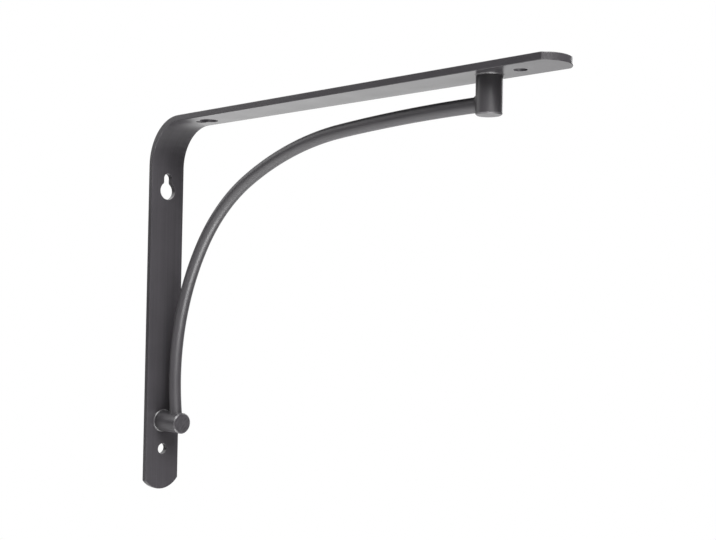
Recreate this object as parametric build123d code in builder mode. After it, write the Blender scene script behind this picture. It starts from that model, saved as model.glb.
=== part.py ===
"""Shelf bracket: a flat bar folded into a wall leg and a shelf arm, braced by a bent round rod between two posts.

Millimetres. X runs out from the wall, Z up, Y across the bar. The origin is the middle of the wall
keyhole's entry hole, on the wall plane.
"""
import os
from math import cos, isclose, radians, sin, sqrt

from build123d import *

# Flat bar
arm_length = 250.5  # wall plane to the tip under the shelf
leg_length = 194.5  # shelf plane to the lower end on the wall
bar_width = 20.2
bar_thickness = 3.0
bend_radius = 21.0  # inside of the fold
end_radius = 12.6  # arc across each end of the bar
corner_radius = 0.8  # where that arc meets the bar's sides
edge_round = 0.3  # softened outline of the bar

# Screw holes, the same on the leg and on the arm
keyhole_setback = 37.0  # outer face of the other arm to the middle of the entry hole
keyhole_entry = 9.4  # diameter that lets the screw's head through
keyhole_slot = 5.0  # width of the slot that the screw's shank slides along
keyhole_travel = 6.7  # middle of the entry hole to the shank's seat, towards the fold
keyhole_blend = 1.2  # radius where the slot opens into the entry hole
end_hole = 5.5  # diameter of the plain hole near each end
end_hole_setback = 21.1  # end of the bar to the middle of the plain hole

# Turned posts that carry the rod
post_diameter = 10.7
shelf_post_height = 15.9  # bar's inner face to the post's end
wall_post_height = 17.0
post_setback = 35.9  # end of the bar to the post's axis
post_chamfer = 0.5
foot_flare = 0.6  # how far the foot spreads onto the bar
foot_hollow = 0.9  # radius of the foot's hollow side

# Brace rod, bent in one plane as four arcs that run into each other
rod_diameter = 6.3
rod_standoff = 11.2  # bar's inner face to the rod's axis, where it meets each post
haunch_reach = 132.2  # wall plane to the start of the haunch
haunch_drop = 3.2  # how far the rod has come down there from the shelf post
haunch_radius = 170.0
haunch_turn = 22.4  # degrees
crown_tangent = 23.4  # length of the crown arc's end tangents
toe_out = 8.5  # degrees that the rod's foot leans away from the wall

# Weld beads, one in each corner of rod and post, on the side that faces the bar
weld_run = 1.5  # along the rod
weld_rise = 0.9  # along the post

# Places that follow from the sizes
half_width = bar_width / 2
fold_radius = bend_radius + bar_thickness
neck_setback = keyhole_setback - sqrt(keyhole_entry**2 - keyhole_slot**2) / 2
shelf_z = keyhole_setback
shelf_inner_z = shelf_z - bar_thickness
foot_z = shelf_z - leg_length
post_radius = post_diameter / 2
rod_radius = rod_diameter / 2
shelf_post_x = arm_length - post_setback
wall_post_z = foot_z + post_setback

# Flat outlines are drawn with x running away from the fold
leg_plane = Plane(origin=(0, 0, shelf_z), x_dir=(0, 0, -1), z_dir=(1, 0, 0))
arm_plane = Plane(origin=(0, 0, shelf_z), x_dir=(1, 0, 0), z_dir=(0, 0, -1))
fold_plane = Plane.XY.offset(shelf_z - fold_radius)
fold_axis = Axis((fold_radius, 0, shelf_z - fold_radius), (0, 1, 0))


def flange_outline(length):
    """One arm of the bar laid flat, from the fold's edge to its rounded end, with both screw holes."""
    shoulder = length - end_radius + sqrt(end_radius**2 - half_width**2)
    with BuildSketch() as outline:
        with BuildLine():
            Polyline(
                (shoulder, -half_width),
                (fold_radius, -half_width),
                (fold_radius, half_width),
                (shoulder, half_width),
            )
            ThreePointArc((shoulder, half_width), (length, 0), (shoulder, -half_width))
        make_face()
        fillet(outline.vertices().sort_by(Axis.X)[-2:], corner_radius)
        with Locations((keyhole_setback, 0)):
            Circle(keyhole_entry / 2, mode=Mode.SUBTRACT)
        with Locations((keyhole_setback - keyhole_travel / 2, 0)):
            SlotCenterToCenter(keyhole_travel, keyhole_slot, mode=Mode.SUBTRACT)
        neck = outline.vertices().filter_by(
            lambda vertex: isclose(vertex.X, neck_setback, abs_tol=1e-6) and abs(vertex.Y) < keyhole_slot
        )
        fillet(neck, keyhole_blend)
        with Locations((length - end_hole_setback, 0)):
            Circle(end_hole / 2, mode=Mode.SUBTRACT)
    return outline.sketch


def post_section(height):
    """Half section of a post, x out from its axis and y out from the bar."""
    with BuildSketch() as section:
        with BuildLine():
            Polyline((0, height), (0, 0), (post_radius + foot_flare, 0))
            RadiusArc((post_radius + foot_flare, 0), (post_radius, foot_flare), foot_hollow)
            Polyline(
                (post_radius, foot_flare),
                (post_radius, height - post_chamfer),
                (post_radius - post_chamfer, height),
                (0, height),
            )
        make_face()
    return section.sketch


leg_outline = flange_outline(leg_length)
arm_outline = flange_outline(arm_length)

# Half section of a weld bead, a plug beside the rod that tapers into it, x along the rod from the post's side
with BuildSketch() as bead_section:
    with BuildLine():
        Polyline(
            (-post_radius, 0),
            (-post_radius, rod_radius),
            (0, rod_radius),
            (weld_run, rod_radius - weld_rise),
            (weld_run, 0),
            close=True,
        )
    make_face()

with BuildPart() as strap:
    with BuildSketch(leg_plane):
        add(leg_outline)
    extrude(amount=bar_thickness)
    with BuildSketch(arm_plane):
        add(arm_outline)
    extrude(amount=bar_thickness)
    with BuildSketch(fold_plane):
        with Locations((bar_thickness / 2, 0)):
            Rectangle(bar_thickness, bar_width)
    revolve(axis=fold_axis, revolution_arc=90)
    side_edges = strap.faces().filter_by(Axis.Y).edges().filter_by(
        lambda edge: edge.length > bar_thickness + edge_round
    )
    end_arcs = strap.edges().filter_by(GeomType.CIRCLE).filter_by(
        lambda edge: isclose(edge.radius, end_radius) or isclose(edge.radius, corner_radius)
    )
    fillet(side_edges + end_arcs, edge_round)

with BuildPart() as shelf_post:
    with BuildSketch(Plane((shelf_post_x, 0, shelf_inner_z), x_dir=(1, 0, 0), z_dir=(0, 1, 0))):
        add(post_section(shelf_post_height))
    revolve(axis=Axis((shelf_post_x, 0, 0), (0, 0, 1)))

with BuildPart() as wall_post:
    with BuildSketch(Plane((bar_thickness, 0, wall_post_z), x_dir=(0, 0, 1), z_dir=(0, 1, 0))):
        add(post_section(wall_post_height))
    revolve(axis=Axis((0, 0, wall_post_z), (1, 0, 0)))

rod_head = Vector(shelf_post_x - post_radius, 0, shelf_inner_z - rod_standoff)
rod_foot = Vector(bar_thickness + rod_standoff, 0, wall_post_z + post_radius)
head_heading = Vector(-1, 0, 0)
foot_heading = Vector(sin(radians(toe_out)), 0, -cos(radians(toe_out)))

with BuildPart() as brace_rod:
    with BuildLine(Plane.XZ) as rod_axis:
        Line(rod_head - head_heading * post_radius, rod_head)
        lead = TangentArc(rod_head, (haunch_reach, rod_head.Z - haunch_drop), tangent=head_heading)
        haunch = JernArc(lead @ 1, lead % 1, haunch_radius, haunch_turn)
        crown_start = haunch @ 1
        crown_heading = haunch % 1
        # The crown and the last arc share a tangent line, which fixes where they meet
        span = rod_foot - crown_start
        spread = span.dot(foot_heading) + crown_tangent * (1 - crown_heading.dot(foot_heading))
        foot_tangent = (span.dot(span) - 2 * crown_tangent * span.dot(crown_heading)) / (2 * spread)
        crown_corner = crown_start + crown_heading * crown_tangent
        foot_corner = rod_foot - foot_heading * foot_tangent
        crown_end = crown_corner + (foot_corner - crown_corner).normalized() * crown_tangent
        crown = TangentArc(crown_start, crown_end, tangent=crown_heading)
        TangentArc(crown_end, rod_foot, tangent=crown % 1)
        Line(rod_foot, rod_foot + foot_heading * post_radius)
    with BuildSketch(Plane(rod_axis.line @ 0, z_dir=head_heading)):
        Circle(rod_radius)
    sweep(path=rod_axis.line)
    add(shelf_post.part, mode=Mode.SUBTRACT)
    add(wall_post.part, mode=Mode.SUBTRACT)

# The bar lies on the same side of the rod all along its run
across = Vector(0, 1, 0)
shelf_bead = rod_head + across.cross(head_heading) * weld_rise
wall_bead = rod_foot + across.cross(foot_heading) * weld_rise

with BuildPart() as shelf_weld:
    with BuildSketch(Plane(shelf_bead, x_dir=head_heading, z_dir=(0, 1, 0))):
        add(bead_section.sketch)
    revolve(axis=Axis(shelf_bead, head_heading))
    add(shelf_post.part, mode=Mode.SUBTRACT)
    add(brace_rod.part, mode=Mode.SUBTRACT)

with BuildPart() as wall_weld:
    with BuildSketch(Plane(wall_bead, x_dir=-foot_heading, z_dir=(0, 1, 0))):
        add(bead_section.sketch)
    revolve(axis=Axis(wall_bead, -foot_heading))
    add(wall_post.part, mode=Mode.SUBTRACT)
    add(brace_rod.part, mode=Mode.SUBTRACT)

os.makedirs("parts", exist_ok=True)
strap.part.label = "strap"
export_step(strap.part, "parts/strap.step")
shelf_post.part.label = "shelf_post"
export_step(shelf_post.part, "parts/shelf_post.step")
wall_post.part.label = "wall_post"
export_step(wall_post.part, "parts/wall_post.step")
brace_rod.part.label = "brace_rod"
export_step(brace_rod.part, "parts/brace_rod.step")
shelf_weld.part.label = "shelf_weld"
export_step(shelf_weld.part, "parts/shelf_weld.step")
wall_weld.part.label = "wall_weld"
export_step(wall_weld.part, "parts/wall_weld.step")
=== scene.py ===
"""Shelf bracket in satin graphite paint, with rippled weld beads, under soft studio light."""
from math import atan2, cos, hypot, pi, radians, sin, sqrt

import bpy
from mathutils import Matrix, Vector


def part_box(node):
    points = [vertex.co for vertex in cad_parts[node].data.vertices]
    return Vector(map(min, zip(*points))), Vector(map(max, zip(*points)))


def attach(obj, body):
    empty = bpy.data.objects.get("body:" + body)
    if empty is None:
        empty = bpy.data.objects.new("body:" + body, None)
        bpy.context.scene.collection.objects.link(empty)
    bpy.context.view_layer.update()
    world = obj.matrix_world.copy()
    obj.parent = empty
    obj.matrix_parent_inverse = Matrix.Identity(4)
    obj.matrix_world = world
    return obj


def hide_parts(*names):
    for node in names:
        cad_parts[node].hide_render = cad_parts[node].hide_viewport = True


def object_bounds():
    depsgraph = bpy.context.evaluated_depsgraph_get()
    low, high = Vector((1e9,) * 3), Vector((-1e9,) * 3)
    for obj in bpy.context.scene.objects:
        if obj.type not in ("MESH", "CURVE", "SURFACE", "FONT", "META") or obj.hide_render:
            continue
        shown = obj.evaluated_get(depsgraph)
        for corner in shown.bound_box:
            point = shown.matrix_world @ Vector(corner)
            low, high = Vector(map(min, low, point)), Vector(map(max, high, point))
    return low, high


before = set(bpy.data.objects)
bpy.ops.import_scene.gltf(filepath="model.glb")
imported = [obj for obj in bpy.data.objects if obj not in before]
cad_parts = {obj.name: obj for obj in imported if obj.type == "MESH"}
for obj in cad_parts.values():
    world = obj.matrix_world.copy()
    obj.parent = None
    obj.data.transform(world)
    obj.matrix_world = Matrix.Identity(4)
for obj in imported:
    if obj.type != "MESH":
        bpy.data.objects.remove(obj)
cad_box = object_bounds()

# The camera, in the part's frame
CAMERA_PLACE = Vector((0.46455, -0.33011, -0.05247))
CAMERA_AZIMUTH = 44.097  # degrees that it is turned from +Y towards -X
CAMERA_LIFT = 1.257  # degrees that it looks above the horizon
CAMERA_ROLL = 1.023  # degrees that its right side is raised
CAMERA_LENS = 52.91  # millimetres
CAMERA_SENSOR = 36.0  # millimetres across
CAMERA_NEAR = 0.01  # nothing closer than this is drawn

# Studio
WHITE = (1.0, 1.0, 1.0, 1.0)
FLOOR_DROP = 0.9  # lower end of the leg to the floor
FLOOR_SIZE = 2.0
FLOOR_COLOR = (0.8, 0.8, 0.8, 1.0)
FLOOR_ROUGHNESS = 0.9
FLOOR_GLOW = 0.8  # what the floor adds to its own light where it is looked at
FLOOR_REFLECTED = 0.2  # and where it is seen in a reflection
BACKDROP_WAY = Vector((-0.731, 0.682, 0))  # from the bracket to the white backdrop behind it
BACKDROP_REACH = (0.64, 0.82)  # cosines of the angles where its edge begins and ends
STUDIO_LEVEL = 0.1  # the room beside the backdrop, as reflections see it
FILL_LEVEL = 0.03  # what the room adds to matt surfaces

# Rod and posts, as the solids have them
ROD_RADIUS = 0.00315
POST_RADIUS = 0.00535
ROD_STANDOFF = 0.0112  # bar's inner face to the rod's axis
TOE_OUT = radians(8.5)  # lean of the rod's foot
HAUNCH_REACH = 0.1322  # wall plane to the start of the rod's haunch
HAUNCH_DROP = 0.0032  # how far the rod has come down there from the shelf post
HAUNCH_RADIUS = 0.17
HAUNCH_TURN = radians(22.4)
CROWN_TANGENT = 0.0234  # length of the crown arc's end tangents
ROD_STEP = 0.0008  # between the rings of the rod's mesh
ROD_SIDES = 56
ROD_ENTRY = 0.0016  # how far the rod's ends reach into the posts

# Weld beads
BEAD_RUN = 0.0015  # along the rod
BEAD_RISE = 0.0009  # along the post
BEAD_CROWN = 0.0001  # how far the bead bulges past a straight taper
BEAD_DEPTH = 0.0004  # how far the bead's middle lies under that taper
BEAD_WIDTH = 0.755  # half the bead's width, as a part of the taper's length
BEAD_SPREAD = radians(80)  # to each side of the rod's line nearest the bar
BEAD_END = 0.12  # size at the bead's ends, as a part of its full size
BEAD_POINTS = 91
BEAD_SIDES = 24
RIPPLES = 9
RIPPLE_DEPTH = 0.14  # part of the bead's size

# Paint on the flat bar, and on the rod, posts and beads, where it lies thicker
PAINT_COLOR = (0.0465, 0.0435, 0.048, 1.0)
PAINT_ROUGHNESS = 0.33
PAINT_GLOSS = 0.5  # strength of the paint's own reflection
ROUND_COLOR = (0.0415, 0.0388, 0.0429, 1.0)
ROUND_GLOSS = 0.9
ROD_ROUGHNESS = 0.44
POST_ROUGHNESS = 0.41

# Grain of the sprayed paint, with the scales of its patterns per metre
NOISE_MIDDLE = 0.5
NOISE_SPAN = (0.25, 0.75)  # where most values of a pattern lie
CLOUD_SCALE = 55
CLOUD_TONE = 0.07  # how much the broad clouds change the tone
SPECKLE_SCALE = 2600
SPECKLE_TONE = 0.06
PEEL_SCALE = 900
PEEL_DEPTH = 0.000004  # height of the orange peel
LINE_STRETCH = (14, 1100, 14)  # lengthwise lines on the bar, close together across it
LINE_SPAN = (0.2, 0.8)
LINE_TONE = 0.16  # how much the lengthwise lines change the tone

# Edges, lightened partly as rubbed wear and partly as a painted highlight
EDGE_REACH = 0.0006  # how far in from an edge the paint is rubbed and given a painted highlight
EDGE_TURN = (0.99, 0.9)  # cosines of the turn away from the flat, where the rubbing and painted highlight begin and are full
EDGE_SAMPLES = 8
EDGE_WEAR_AND_HIGHLIGHT = 0.8  # how much lighter the paint is there, partly as wear and partly as a painted highlight
POST_RIM_WEAR_AND_HIGHLIGHT = 2.2  # the same on the sawn rims of the posts, partly as wear and partly as a painted highlight
POST_RIM = (0.004, 0.002)  # in from a post's end, where its rim's wear and painted highlight begin and where they are full
PATCH_SCALE = 380
PATCH_SPAN = (0.35, 0.6)
PATCH_LEAST = 0.45  # part of the rubbing and painted highlight that is left between the patches
POLISH_WEAR = 2.0  # wear at which the paint is rubbed smoothest
POLISH_PART = 0.7  # its roughness there, as a part of the paint's own

# Painted shade in corners and holes
PAINTED_SHADE_REACH = 0.02  # how far out of a corner or hole the painted shade reaches
PAINTED_SHADE_TONE = 0.3  # the tone of the painted shade right in the corner
PAINTED_SHADE_OPEN = (0.3, 0.9)  # how open a place is where the painted shade is full, and where it ends

# Saw marks on the posts' ends
SAW_DEPTH = 0.00004
SAW_TONE = 2.0
SAW_REACH = (0.0001, 0.00002)  # in from the end, where the marks begin and where they are full
SAW_SLANT = radians(40)
SAW_ACROSS = 1300  # scale of the pattern from mark to mark
SAW_ALONG = 450  # along a mark
SAW_INWARD = 100  # into the post


def place_camera():
    """The photograph's view of the bracket, from the right and a little below the shelf arm."""
    lens = bpy.data.cameras.new("camera")
    lens.lens = CAMERA_LENS
    lens.sensor_width = CAMERA_SENSOR
    lens.clip_start = CAMERA_NEAR
    camera = bpy.data.objects.new("camera", lens)
    turn = Matrix.Rotation(radians(CAMERA_AZIMUTH), 4, "Z")
    lift = Matrix.Rotation(radians(90 + CAMERA_LIFT), 4, "X")
    roll = Matrix.Rotation(radians(CAMERA_ROLL), 4, "Z")
    camera.matrix_world = Matrix.Translation(CAMERA_PLACE) @ turn @ lift @ roll
    bpy.context.scene.collection.objects.link(camera)
    bpy.context.scene.camera = camera


def softbox(name, bearing, height, distance, width, tall, power):
    """A flat lamp that faces the bracket's middle and that the camera can't see.

    Bearing is in degrees round from straight out of the wall, and height in degrees above the horizon.
    """
    lamp = bpy.data.lights.new(name, "AREA")
    lamp.shape = "RECTANGLE"
    lamp.size = width
    lamp.size_y = tall
    lamp.energy = power
    box = bpy.data.objects.new(name, lamp)
    middle = (cad_box[0] + cad_box[1]) / 2
    level = cos(radians(height))
    outward = Vector((level * cos(radians(bearing)), level * sin(radians(bearing)), sin(radians(height))))
    box.location = middle + outward * distance
    box.rotation_euler = outward.to_track_quat("Z", "Y").to_euler()
    box.visible_camera = False
    bpy.context.scene.collection.objects.link(box)


def studio_lamps():
    """Soft light from above on all sides, brightest in front, and light thrown back up from below."""
    softbox("key", bearing=-24, height=40, distance=1.3, width=0.65, tall=0.65, power=18.5)
    softbox("key_high", bearing=-42, height=55, distance=1.3, width=0.6, tall=0.6, power=8.8)
    softbox("key_right", bearing=-4, height=38, distance=1.3, width=0.6, tall=0.6, power=3.2)
    softbox("top", bearing=-75, height=66, distance=1.3, width=0.9, tall=0.9, power=3.2)
    softbox("bounce", bearing=-22, height=-54, distance=0.75, width=0.42, tall=0.8, power=7.4)
    softbox("low_wall", bearing=180, height=-58, distance=0.75, width=0.5, tall=0.5, power=0.75)
    softbox("low_left", bearing=-128, height=-37, distance=0.85, width=0.75, tall=0.75, power=2.1)
    softbox("left", bearing=-162, height=30, distance=1.2, width=0.8, tall=0.8, power=3.6)
    softbox("back", bearing=165, height=45, distance=1.3, width=0.9, tall=0.9, power=3.0)
    softbox("far_side", bearing=142, height=-10, distance=1.1, width=0.8, tall=0.8, power=1.0)
    softbox("behind", bearing=98, height=28, distance=1.2, width=0.7, tall=0.7, power=5.0)


def math_node(tree, operation, first, second=None):
    """A Math node on one or two inputs, each a socket or a number."""
    node = tree.nodes.new("ShaderNodeMath")
    node.operation = operation
    for socket, given in zip(node.inputs, (first, second)):
        if isinstance(given, (int, float)):
            socket.default_value = given
        elif given is not None:
            tree.links.new(given, socket)
    return node.outputs[0]


def map_range(tree, value, from_range, to_range, smooth=False):
    """A Map Range node from one pair of values to another."""
    node = tree.nodes.new("ShaderNodeMapRange")
    node.interpolation_type = "SMOOTHSTEP" if smooth else "LINEAR"
    node.inputs["From Min"].default_value = from_range[0]
    node.inputs["From Max"].default_value = from_range[1]
    node.inputs["To Min"].default_value = to_range[0]
    node.inputs["To Max"].default_value = to_range[1]
    tree.links.new(value, node.inputs["Value"])
    return node.outputs["Result"]


def white_surround():
    """White where the camera looks, a white backdrop in a dim room for reflections, and a soft fill."""
    world = bpy.data.worlds.new("surround")
    bpy.context.scene.world = world
    world.use_nodes = True
    tree = world.node_tree
    tree.nodes.clear()
    output = tree.nodes.new("ShaderNodeOutputWorld")
    background = tree.nodes.new("ShaderNodeBackground")
    background.inputs["Color"].default_value = WHITE
    path = tree.nodes.new("ShaderNodeLightPath")
    way = tree.nodes.new("ShaderNodeTexCoord")
    facing = tree.nodes.new("ShaderNodeVectorMath")
    facing.operation = "DOT_PRODUCT"
    facing.inputs[1].default_value = BACKDROP_WAY
    tree.links.new(way.outputs["Generated"], facing.inputs[0])
    room = map_range(tree, facing.outputs["Value"], BACKDROP_REACH, (STUDIO_LEVEL, 1.0), smooth=True)
    reflected = math_node(tree, "MULTIPLY", path.outputs["Is Glossy Ray"], room)
    seen = math_node(tree, "MAXIMUM", path.outputs["Is Camera Ray"], path.outputs["Is Transmission Ray"])
    looked_at = math_node(tree, "MAXIMUM", seen, reflected)
    level = math_node(tree, "MAXIMUM", looked_at, FILL_LEVEL)
    tree.links.new(level, background.inputs["Strength"])
    tree.links.new(background.outputs["Background"], output.inputs["Surface"])


def pale_floor():
    """A pale matt floor far below the bracket, which reads as white and still takes its shadow."""
    height = cad_box[0].z - FLOOR_DROP
    half = FLOOR_SIZE / 2
    middle = (cad_box[0] + cad_box[1]) / 2
    mesh = bpy.data.meshes.new("floor")
    corners = [(-half, -half), (half, -half), (half, half), (-half, half)]
    mesh.from_pydata([(middle.x + x, middle.y + y, height) for x, y in corners], [], [(0, 1, 2, 3)])
    floor = bpy.data.objects.new("floor", mesh)
    bpy.context.scene.collection.objects.link(floor)
    material = bpy.data.materials.new("pale_floor")
    material.use_nodes = True
    tree = material.node_tree
    shader = tree.nodes["Principled BSDF"]
    shader.inputs["Base Color"].default_value = FLOOR_COLOR
    shader.inputs["Roughness"].default_value = FLOOR_ROUGHNESS
    shader.inputs["Emission Color"].default_value = WHITE
    path = tree.nodes.new("ShaderNodeLightPath")
    seen = math_node(tree, "MAXIMUM", path.outputs["Is Camera Ray"], path.outputs["Is Transmission Ray"])
    shown = math_node(tree, "MULTIPLY", seen, FLOOR_GLOW)
    mirrored = math_node(tree, "MULTIPLY", path.outputs["Is Glossy Ray"], FLOOR_REFLECTED)
    glow = math_node(tree, "MAXIMUM", shown, mirrored)
    tree.links.new(glow, shader.inputs["Emission Strength"])
    mesh.materials.append(material)


def group_of(kind, name, inputs, outputs):
    """An empty node group with named sockets, and its input and output nodes."""
    group = bpy.data.node_groups.new(name, kind)
    for socket_name, socket_kind in inputs:
        group.interface.new_socket(socket_name, in_out="INPUT", socket_type="NodeSocket" + socket_kind)
    for socket_name, socket_kind in outputs:
        group.interface.new_socket(socket_name, in_out="OUTPUT", socket_type="NodeSocket" + socket_kind)
    return group, group.nodes.new("NodeGroupInput"), group.nodes.new("NodeGroupOutput")


def placed(tree, name, group, values):
    """A node group placed in a material under a name, with its own values."""
    node = tree.nodes.new("ShaderNodeGroup")
    node.name = name
    node.node_tree = group
    for socket_name, value in values.items():
        node.inputs[socket_name].default_value = value
    return node


def noise(tree, place, scale, detail):
    """A Noise Texture's value at a place."""
    node = tree.nodes.new("ShaderNodeTexNoise")
    node.inputs["Scale"].default_value = scale
    node.inputs["Detail"].default_value = detail
    tree.links.new(place, node.inputs["Vector"])
    return node.outputs["Fac"]


def stretched(tree, place, turn, scale):
    """A place turned and then scaled, so that a pattern runs as lines."""
    turned = tree.nodes.new("ShaderNodeMapping")
    turned.inputs["Rotation"].default_value = turn
    tree.links.new(place, turned.inputs["Vector"])
    drawn_out = tree.nodes.new("ShaderNodeMapping")
    drawn_out.inputs["Scale"].default_value = scale
    tree.links.new(turned.outputs["Vector"], drawn_out.inputs["Vector"])
    return drawn_out.outputs["Vector"]


def paint_grain():
    """Node group: the orange peel and uneven tone of a sprayed paint, smoother where rubbed, lighter where
    rubbed or given a painted highlight, and darker under painted shade.
    """
    group, given, made = group_of(
        "ShaderNodeTree",
        "paint_grain",
        [
            ("Place", "Vector"),
            ("Color", "Color"),
            ("Roughness", "Float"),
            ("Tone", "Float"),
            ("Wear And Highlight", "Float"),
            ("Painted Shade", "Float"),
        ],
        [("Color", "Color"), ("Roughness", "Float"), ("Height", "Float")],
    )
    place = given.outputs["Place"]
    wear_and_highlight = given.outputs["Wear And Highlight"]
    clouds = noise(group, place, CLOUD_SCALE, detail=3)
    cloud = map_range(group, clouds, NOISE_SPAN, (1 - CLOUD_TONE, 1 + CLOUD_TONE))
    speckles = noise(group, place, SPECKLE_SCALE, detail=1)
    speckle = map_range(group, speckles, NOISE_SPAN, (1 - SPECKLE_TONE, 1 + SPECKLE_TONE))
    mottled = math_node(group, "MULTIPLY", cloud, speckle)
    sprayed = math_node(group, "MULTIPLY", mottled, given.outputs["Tone"])
    # lighter where the edges are rubbed and where a highlight is painted on them
    rubbed_and_highlit = math_node(group, "MULTIPLY", sprayed, math_node(group, "ADD", wear_and_highlight, 1.0))
    # darker where shade is painted into corners and holes
    tone = math_node(group, "MULTIPLY", rubbed_and_highlit, given.outputs["Painted Shade"])
    toned = group.nodes.new("ShaderNodeVectorMath")
    toned.operation = "SCALE"
    group.links.new(given.outputs["Color"], toned.inputs[0])
    group.links.new(tone, toned.inputs["Scale"])
    group.links.new(toned.outputs["Vector"], made.inputs["Color"])
    uneven = math_node(group, "MULTIPLY", given.outputs["Roughness"], cloud)
    polish = map_range(group, wear_and_highlight, (0, POLISH_WEAR), (1, POLISH_PART))
    group.links.new(math_node(group, "MULTIPLY", uneven, polish), made.inputs["Roughness"])
    group.links.new(noise(group, place, PEEL_SCALE, detail=2), made.inputs["Height"])
    return group


def edge_wear_and_highlight():
    """Node group: how much the paint is rubbed and given a painted highlight along edges, in uneven patches,
    from 0 to the given amount.
    """
    group, given, made = group_of(
        "ShaderNodeTree",
        "edge_wear_and_highlight",
        [("Place", "Vector"), ("Reach", "Float"), ("Amount", "Float")],
        [("Wear And Highlight", "Float")],
    )
    rounded = group.nodes.new("ShaderNodeBevel")
    rounded.samples = EDGE_SAMPLES
    group.links.new(given.outputs["Reach"], rounded.inputs["Radius"])
    surface = group.nodes.new("ShaderNodeNewGeometry")
    facing = group.nodes.new("ShaderNodeVectorMath")
    facing.operation = "DOT_PRODUCT"
    group.links.new(rounded.outputs["Normal"], facing.inputs[0])
    group.links.new(surface.outputs["Normal"], facing.inputs[1])
    edge = map_range(group, facing.outputs["Value"], EDGE_TURN, (0, 1))
    spots = noise(group, given.outputs["Place"], PATCH_SCALE, detail=2)
    patches = map_range(group, spots, PATCH_SPAN, (PATCH_LEAST, 1))
    rubbed_and_highlit = math_node(group, "MULTIPLY", edge, patches)
    group.links.new(math_node(group, "MULTIPLY", rubbed_and_highlit, given.outputs["Amount"]), made.inputs["Wear And Highlight"])
    return group


def painted_corner_shade():
    """Node group: painted shade in holes and corners, as a tone from the given one there to 1 in the open."""
    group, given, made = group_of(
        "ShaderNodeTree",
        "painted_corner_shade",
        [("Reach", "Float"), ("Tone", "Float")],
        [("Painted Shade", "Float")],
    )
    hollow = group.nodes.new("ShaderNodeAmbientOcclusion")
    group.links.new(given.outputs["Reach"], hollow.inputs["Distance"])
    open_part = map_range(group, hollow.outputs["AO"], PAINTED_SHADE_OPEN, (0, 1))
    lost = math_node(group, "SUBTRACT", 1.0, given.outputs["Tone"])
    regained = math_node(group, "MULTIPLY", open_part, lost)
    group.links.new(math_node(group, "ADD", regained, given.outputs["Tone"]), made.inputs["Painted Shade"])
    return group


def saw_marks():
    """Node group: fine slanting marks of a saw, kept to the flat end of a post by a 0 to 1 mask."""
    group, given, made = group_of(
        "ShaderNodeTree",
        "saw_marks",
        [("Place", "Vector"), ("End", "Float"), ("Amount", "Float")],
        [("Tone", "Float"), ("Height", "Float")],
    )
    lines = noise(group, given.outputs["Place"], 1.0, detail=2)
    cut = math_node(group, "SUBTRACT", lines, NOISE_MIDDLE)
    kept = math_node(group, "MULTIPLY", cut, given.outputs["End"])
    change = math_node(group, "MULTIPLY", kept, given.outputs["Amount"])
    group.links.new(math_node(group, "ADD", change, 1.0), made.inputs["Tone"])
    group.links.new(kept, made.inputs["Height"])
    return group


def graphite_paint(name, effects, color, roughness, gloss, worn_and_highlit):
    """Dark satin paint with grain, painted shade in corners, and, where it is worn, edges lightened partly as
    rubbed wear and partly as a painted highlight.

    Its nodes place, finish, peel and the edges' node for wear and painted highlight have names, so that a
    piece's own paint can add to them.
    """
    material = bpy.data.materials.new(name)
    material.use_nodes = True
    tree = material.node_tree
    shader = tree.nodes["Principled BSDF"]
    shader.inputs["Specular IOR Level"].default_value = gloss
    place = tree.nodes.new("ShaderNodeTexCoord")
    place.name = "place"
    finish = placed(tree, "finish", effects["grain"], {"Color": color, "Roughness": roughness, "Tone": 1.0})
    tree.links.new(place.outputs["Object"], finish.inputs["Place"])
    # painted shade in corners and holes, which darkens the paint's colour
    painted_shading = placed(tree, "painted_shading", effects["painted_shade"], {"Reach": PAINTED_SHADE_REACH, "Tone": PAINTED_SHADE_TONE})
    tree.links.new(painted_shading.outputs["Painted Shade"], finish.inputs["Painted Shade"])
    # edges lightened partly as rubbed wear and partly as a painted highlight
    if worn_and_highlit:
        rubbed_and_highlit = placed(tree, "rubbed_and_highlit", effects["wear_and_highlight"], {"Reach": EDGE_REACH, "Amount": worn_and_highlit})
        tree.links.new(place.outputs["Object"], rubbed_and_highlit.inputs["Place"])
        tree.links.new(rubbed_and_highlit.outputs["Wear And Highlight"], finish.inputs["Wear And Highlight"])
    tree.links.new(finish.outputs["Color"], shader.inputs["Base Color"])
    tree.links.new(finish.outputs["Roughness"], shader.inputs["Roughness"])
    peel = tree.nodes.new("ShaderNodeBump")
    peel.name = "peel"
    peel.inputs["Distance"].default_value = PEEL_DEPTH
    tree.links.new(finish.outputs["Height"], peel.inputs["Height"])
    tree.links.new(peel.outputs["Normal"], shader.inputs["Normal"])
    return material


def strap_paint(effects):
    """Paint on the flat bar, where rolling lines run along its length, up the leg and out along the arm."""
    material = graphite_paint("strap_paint", effects, PAINT_COLOR, PAINT_ROUGHNESS, PAINT_GLOSS, EDGE_WEAR_AND_HIGHLIGHT)
    tree = material.node_tree
    place = tree.nodes["place"].outputs["Object"]
    lines = noise(tree, stretched(tree, place, (0, 0, 0), LINE_STRETCH), 1.0, detail=3)
    tone = map_range(tree, lines, LINE_SPAN, (1 - LINE_TONE, 1 + LINE_TONE))
    tree.links.new(tone, tree.nodes["finish"].inputs["Tone"])
    return material


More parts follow.
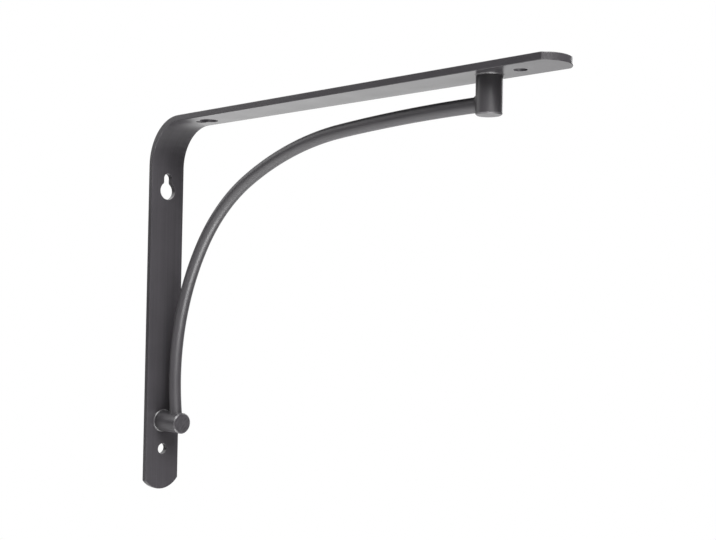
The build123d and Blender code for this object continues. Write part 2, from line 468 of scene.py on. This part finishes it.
def post_paint(name, effects, axis, end, inward, slant, stretch):
    """Paint on a turned post with saw marks on its end and a rim lightened partly as rubbed wear and partly
    as a painted highlight.

    The end lies at a place along an axis, and inward is 1 or -1, the way along that axis into the post.
    """
    material = graphite_paint(name, effects, ROUND_COLOR, POST_ROUGHNESS, ROUND_GLOSS, POST_RIM_WEAR_AND_HIGHLIGHT)
    tree = material.node_tree
    place = tree.nodes["place"].outputs["Object"]
    parts = tree.nodes.new("ShaderNodeSeparateXYZ")
    tree.links.new(place, parts.inputs["Vector"])
    # the rim, lightened partly as rubbed wear and partly as a painted highlight
    rim_reach = [end + inward * depth for depth in POST_RIM]
    rim = map_range(tree, parts.outputs[axis], rim_reach, (0, POST_RIM_WEAR_AND_HIGHLIGHT))
    tree.links.new(rim, tree.nodes["rubbed_and_highlit"].inputs["Amount"])
    saw_reach = [end + inward * depth for depth in SAW_REACH]
    flat = map_range(tree, parts.outputs[axis], saw_reach, (0, 1))
    sawn = placed(tree, "sawn", effects["saw"], {"Amount": SAW_TONE})
    tree.links.new(stretched(tree, place, slant, stretch), sawn.inputs["Place"])
    tree.links.new(flat, sawn.inputs["End"])
    tree.links.new(sawn.outputs["Tone"], tree.nodes["finish"].inputs["Tone"])
    scored = tree.nodes.new("ShaderNodeBump")
    scored.inputs["Distance"].default_value = SAW_DEPTH
    tree.links.new(sawn.outputs["Height"], scored.inputs["Height"])
    tree.links.new(scored.outputs["Normal"], tree.nodes["peel"].inputs["Normal"])
    return material


def line_object(name, places):
    """A line through the places, as a mesh of edges only."""
    mesh = bpy.data.meshes.new(name)
    mesh.from_pydata(places, [(step, step + 1) for step in range(len(places) - 1)], [])
    line = bpy.data.objects.new(name, mesh)
    bpy.context.scene.collection.objects.link(line)
    return line


def swept(tree, path, section, paint, size=None):
    """Geometry Nodes: a section swept along a path, closed at both ends, smooth and painted."""
    sweep = tree.nodes.new("GeometryNodeCurveToMesh")
    sweep.inputs["Fill Caps"].default_value = True
    tree.links.new(path, sweep.inputs["Curve"])
    tree.links.new(section, sweep.inputs["Profile Curve"])
    if size is not None:
        tree.links.new(size, sweep.inputs["Scale"])
    smooth = tree.nodes.new("GeometryNodeSetShadeSmooth")
    tree.links.new(sweep.outputs["Mesh"], smooth.inputs["Geometry"])
    whole = tree.nodes.new("GeometryNodeRealizeInstances")
    tree.links.new(smooth.outputs["Geometry"], whole.inputs["Geometry"])
    painted = tree.nodes.new("GeometryNodeSetMaterial")
    tree.links.new(whole.outputs["Geometry"], painted.inputs["Geometry"])
    tree.links.new(paint, painted.inputs["Material"])
    return painted.outputs["Geometry"]


def sweep_of(name, line, tree, values):
    """The mesh that a Geometry Nodes tree makes of a line, as an object of its own in the line's place."""
    sweep = line.modifiers.new(name, "NODES")
    sweep.node_group = tree
    given = {item.name: item.identifier for item in tree.interface.items_tree if item.in_out == "INPUT"}
    for socket_name, value in values.items():
        sweep[given[socket_name]] = value
    depsgraph = bpy.context.evaluated_depsgraph_get()
    mesh = bpy.data.meshes.new_from_object(line.evaluated_get(depsgraph), depsgraph=depsgraph)
    mesh.name = name
    bpy.data.objects.remove(line)
    piece = bpy.data.objects.new(name, mesh)
    bpy.context.scene.collection.objects.link(piece)
    return piece


def arc(start, heading, end):
    """Places along the arc that leaves start in a heading and runs to end, and its heading there.

    Start itself isn't among the places.
    """
    span = end - start
    turn = 2 * atan2(heading.cross(span).y, heading.dot(span))
    length = span.length * (turn / 2) / sin(turn / 2)
    count = round(length / ROD_STEP)
    places = []
    for step in range(1, count + 1):
        part = turn * step / count
        chord = length * sin(part / 2) / (turn / 2)
        places.append(start + Matrix.Rotation(part / 2, 3, "Y") @ heading * chord)
    return places, Matrix.Rotation(turn, 3, "Y") @ heading


def rod_line(rod_head, rod_foot):
    """The rod's middle line from post to post: four arcs that run into each other."""
    heading = Vector((-1, 0, 0))
    foot_heading = Vector((sin(TOE_OUT), 0, -cos(TOE_OUT)))
    entry = [rod_head - heading * ROD_ENTRY, rod_head]
    lead, heading = arc(rod_head, heading, Vector((HAUNCH_REACH, 0, rod_head.z - HAUNCH_DROP)))
    chord = 2 * HAUNCH_RADIUS * sin(HAUNCH_TURN / 2)
    crown_start = lead[-1] + Matrix.Rotation(-HAUNCH_TURN / 2, 3, "Y") @ heading * chord
    haunch, heading = arc(lead[-1], heading, crown_start)
    # The crown and the last arc share a tangent line, which fixes where they meet
    span = rod_foot - crown_start
    spread = span.dot(foot_heading) + CROWN_TANGENT * (1 - heading.dot(foot_heading))
    foot_tangent = (span.dot(span) - 2 * CROWN_TANGENT * span.dot(heading)) / (2 * spread)
    crown_corner = crown_start + heading * CROWN_TANGENT
    foot_corner = rod_foot - foot_heading * foot_tangent
    crown_end = crown_corner + (foot_corner - crown_corner).normalized() * CROWN_TANGENT
    crown, heading = arc(crown_start, heading, crown_end)
    shin, _ = arc(crown_end, heading, rod_foot)
    return entry + lead + haunch + crown + shin + [rod_foot + foot_heading * ROD_ENTRY]


def rod_tree():
    """Geometry Nodes: sweeps a round section along a line."""
    tree, given, made = group_of(
        "GeometryNodeTree",
        "round_rod",
        [("Line", "Geometry"), ("Radius", "Float"), ("Sides", "Int"), ("Paint", "Material")],
        [("Rod", "Geometry")],
    )
    path = tree.nodes.new("GeometryNodeMeshToCurve")
    tree.links.new(given.outputs["Line"], path.inputs["Mesh"])
    section = tree.nodes.new("GeometryNodeCurvePrimitiveCircle")
    tree.links.new(given.outputs["Sides"], section.inputs["Resolution"])
    tree.links.new(given.outputs["Radius"], section.inputs["Radius"])
    rod = swept(tree, path.outputs["Curve"], section.outputs["Curve"], given.outputs["Paint"])
    tree.links.new(rod, made.inputs["Rod"])
    return tree


def round_rod(paint, rod_head, rod_foot):
    """The brace rod as one fine smooth sweep, so that its long highlight runs unbroken."""
    line = line_object("rod_line", rod_line(rod_head, rod_foot))
    rod = sweep_of("round_rod", line, rod_tree(), {"Radius": ROD_RADIUS, "Sides": ROD_SIDES, "Paint": paint})
    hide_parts("brace_rod")
    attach(rod, "root")


def bead_section(tree):
    """Geometry Nodes: the bead's flat oval, along the taper from the post's side to the rod's side."""
    # x runs up the post and y along the rod
    taper = hypot(BEAD_RUN, BEAD_RISE)
    out_x = BEAD_RUN / taper
    out_y = BEAD_RISE / taper
    oval = tree.nodes.new("GeometryNodeCurvePrimitiveCircle")
    oval.inputs["Resolution"].default_value = BEAD_SIDES
    oval.inputs["Radius"].default_value = 1.0
    section = tree.nodes.new("GeometryNodeTransform")
    section.inputs["Translation"].default_value = (
        BEAD_RISE / 2 - out_x * BEAD_DEPTH,
        BEAD_RUN / 2 - out_y * BEAD_DEPTH,
        0,
    )
    section.inputs["Rotation"].default_value = (0, 0, atan2(BEAD_RUN, -BEAD_RISE))
    section.inputs["Scale"].default_value = (taper * BEAD_WIDTH, BEAD_DEPTH + BEAD_CROWN, 1)
    tree.links.new(oval.outputs["Curve"], section.inputs["Geometry"])
    return section.outputs["Geometry"]


def bead_size(tree, ripples, ripple_depth):
    """Geometry Nodes: the size along the bead, full in the middle, small at the ends, with rippling dips."""
    along = tree.nodes.new("GeometryNodeSplineParameter")
    half_turn = math_node(tree, "MULTIPLY", along.outputs["Factor"], pi)
    swell = math_node(tree, "MAXIMUM", math_node(tree, "SINE", half_turn), BEAD_END)
    wave = math_node(tree, "SINE", math_node(tree, "MULTIPLY", half_turn, ripples))
    dip = math_node(tree, "SUBTRACT", 1.0, math_node(tree, "ABSOLUTE", wave))
    kept = math_node(tree, "SUBTRACT", 1.0, math_node(tree, "MULTIPLY", dip, ripple_depth))
    return math_node(tree, "MULTIPLY", swell, kept)


def bead_tree():
    """Geometry Nodes: sweeps a flat oval along a corner, rippled and fading out at both ends."""
    tree, given, made = group_of(
        "GeometryNodeTree",
        "weld_bead",
        [("Corner", "Geometry"), ("Ripples", "Float"), ("Ripple Depth", "Float"), ("Paint", "Material")],
        [("Bead", "Geometry")],
    )
    corner = tree.nodes.new("GeometryNodeMeshToCurve")
    tree.links.new(given.outputs["Corner"], corner.inputs["Mesh"])
    rise_way = tree.nodes.new("GeometryNodeInputNamedAttribute")
    rise_way.data_type = "FLOAT_VECTOR"
    rise_way.inputs["Name"].default_value = "rise_way"
    path = tree.nodes.new("GeometryNodeSetCurveNormal")
    path.mode = "FREE"
    tree.links.new(corner.outputs["Curve"], path.inputs["Curve"])
    tree.links.new(rise_way.outputs["Attribute"], path.inputs["Normal"])
    size = bead_size(tree, given.outputs["Ripples"], given.outputs["Ripple Depth"])
    bead = swept(tree, path.outputs["Curve"], bead_section(tree), given.outputs["Paint"], size)
    tree.links.new(bead, made.inputs["Bead"])
    return tree


def weld_bead(name, node, tree, paint, rod_end, outward, heading, bar_way):
    """A rippled bead in the corner where the rod's end meets a post, on the side that faces the bar.

    Outward points away from the post's axis, heading runs from the post along the rod, and bar_way from the
    rod to the bar.
    """
    across = bar_way.cross(heading)
    places = []
    rise_ways = []
    for step in range(BEAD_POINTS):
        angle = BEAD_SPREAD * (2 * step / (BEAD_POINTS - 1) - 1)
        rise_way = bar_way * cos(angle) + across * sin(angle)
        fall = sqrt(POST_RADIUS**2 - (ROD_RADIUS * sin(angle)) ** 2) - POST_RADIUS
        along = (fall - ROD_RADIUS * rise_way.dot(outward)) / heading.dot(outward)
        places.append(rod_end + rise_way * ROD_RADIUS + heading * along)
        rise_ways.append(rise_way)
    corner = line_object(name + "_corner", places)
    ways = corner.data.attributes.new("rise_way", "FLOAT_VECTOR", "POINT")
    for value, rise_way in zip(ways.data, rise_ways):
        value.vector = rise_way
    values = {"Ripples": float(RIPPLES), "Ripple Depth": RIPPLE_DEPTH, "Paint": paint}
    bead = sweep_of(name, corner, tree, values)
    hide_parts(node)
    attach(bead, "root")


def weld_beads(paint, rod_head, rod_foot):
    """The beads at both ends of the rod, which meets the shelf post squarely and leans at the wall post."""
    tree = bead_tree()
    toward_wall = Vector((-1, 0, 0))
    up = Vector((0, 0, 1))
    weld_bead("shelf_bead", "shelf_weld", tree, paint, rod_head, toward_wall, toward_wall, up)
    up_the_rod = Vector((-sin(TOE_OUT), 0, cos(TOE_OUT)))
    to_the_bar = Vector((-cos(TOE_OUT), 0, -sin(TOE_OUT)))
    weld_bead("wall_bead", "wall_weld", tree, paint, rod_foot, up, up_the_rod, to_the_bar)


bpy.context.scene.view_settings.view_transform = "Standard"
place_camera()
white_surround()
pale_floor()
studio_lamps()

# Paint on the bar and the posts, whose solids are shown as they are
effects = {"grain": paint_grain(), "wear_and_highlight": edge_wear_and_highlight(), "painted_shade": painted_corner_shade(), "saw": saw_marks()}
wall_low, wall_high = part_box("wall_post")
shelf_low, shelf_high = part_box("shelf_post")
wall_slant = (SAW_SLANT, 0, 0)
wall_stretch = (SAW_INWARD, SAW_ACROSS, SAW_ALONG)
shelf_slant = (0, 0, SAW_SLANT)
shelf_stretch = (SAW_ACROSS, SAW_ALONG, SAW_INWARD)
paints = {
    "strap": strap_paint(effects),
    "wall_post": post_paint("wall_post_paint", effects, "X", wall_high.x, -1, wall_slant, wall_stretch),
    "shelf_post": post_paint("shelf_post_paint", effects, "Z", shelf_low.z, 1, shelf_slant, shelf_stretch),
}
for name, paint in paints.items():
    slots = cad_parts[name].data.materials
    slots.clear()
    slots.append(paint)

# The rod and its beads, as finer meshes in the solids' place
rod_head = Vector(((shelf_low.x + shelf_high.x) / 2 - POST_RADIUS, 0, shelf_high.z - ROD_STANDOFF))
rod_foot = Vector((wall_low.x + ROD_STANDOFF, 0, (wall_low.z + wall_high.z) / 2 + POST_RADIUS))
rod_paint = graphite_paint("rod_paint", effects, ROUND_COLOR, ROD_ROUGHNESS, ROUND_GLOSS, 0.0)
round_rod(rod_paint, rod_head, rod_foot)
weld_paint = graphite_paint("weld_paint", effects, ROUND_COLOR, ROD_ROUGHNESS, ROUND_GLOSS, EDGE_WEAR_AND_HIGHLIGHT)
weld_beads(weld_paint, rod_head, rod_foot)
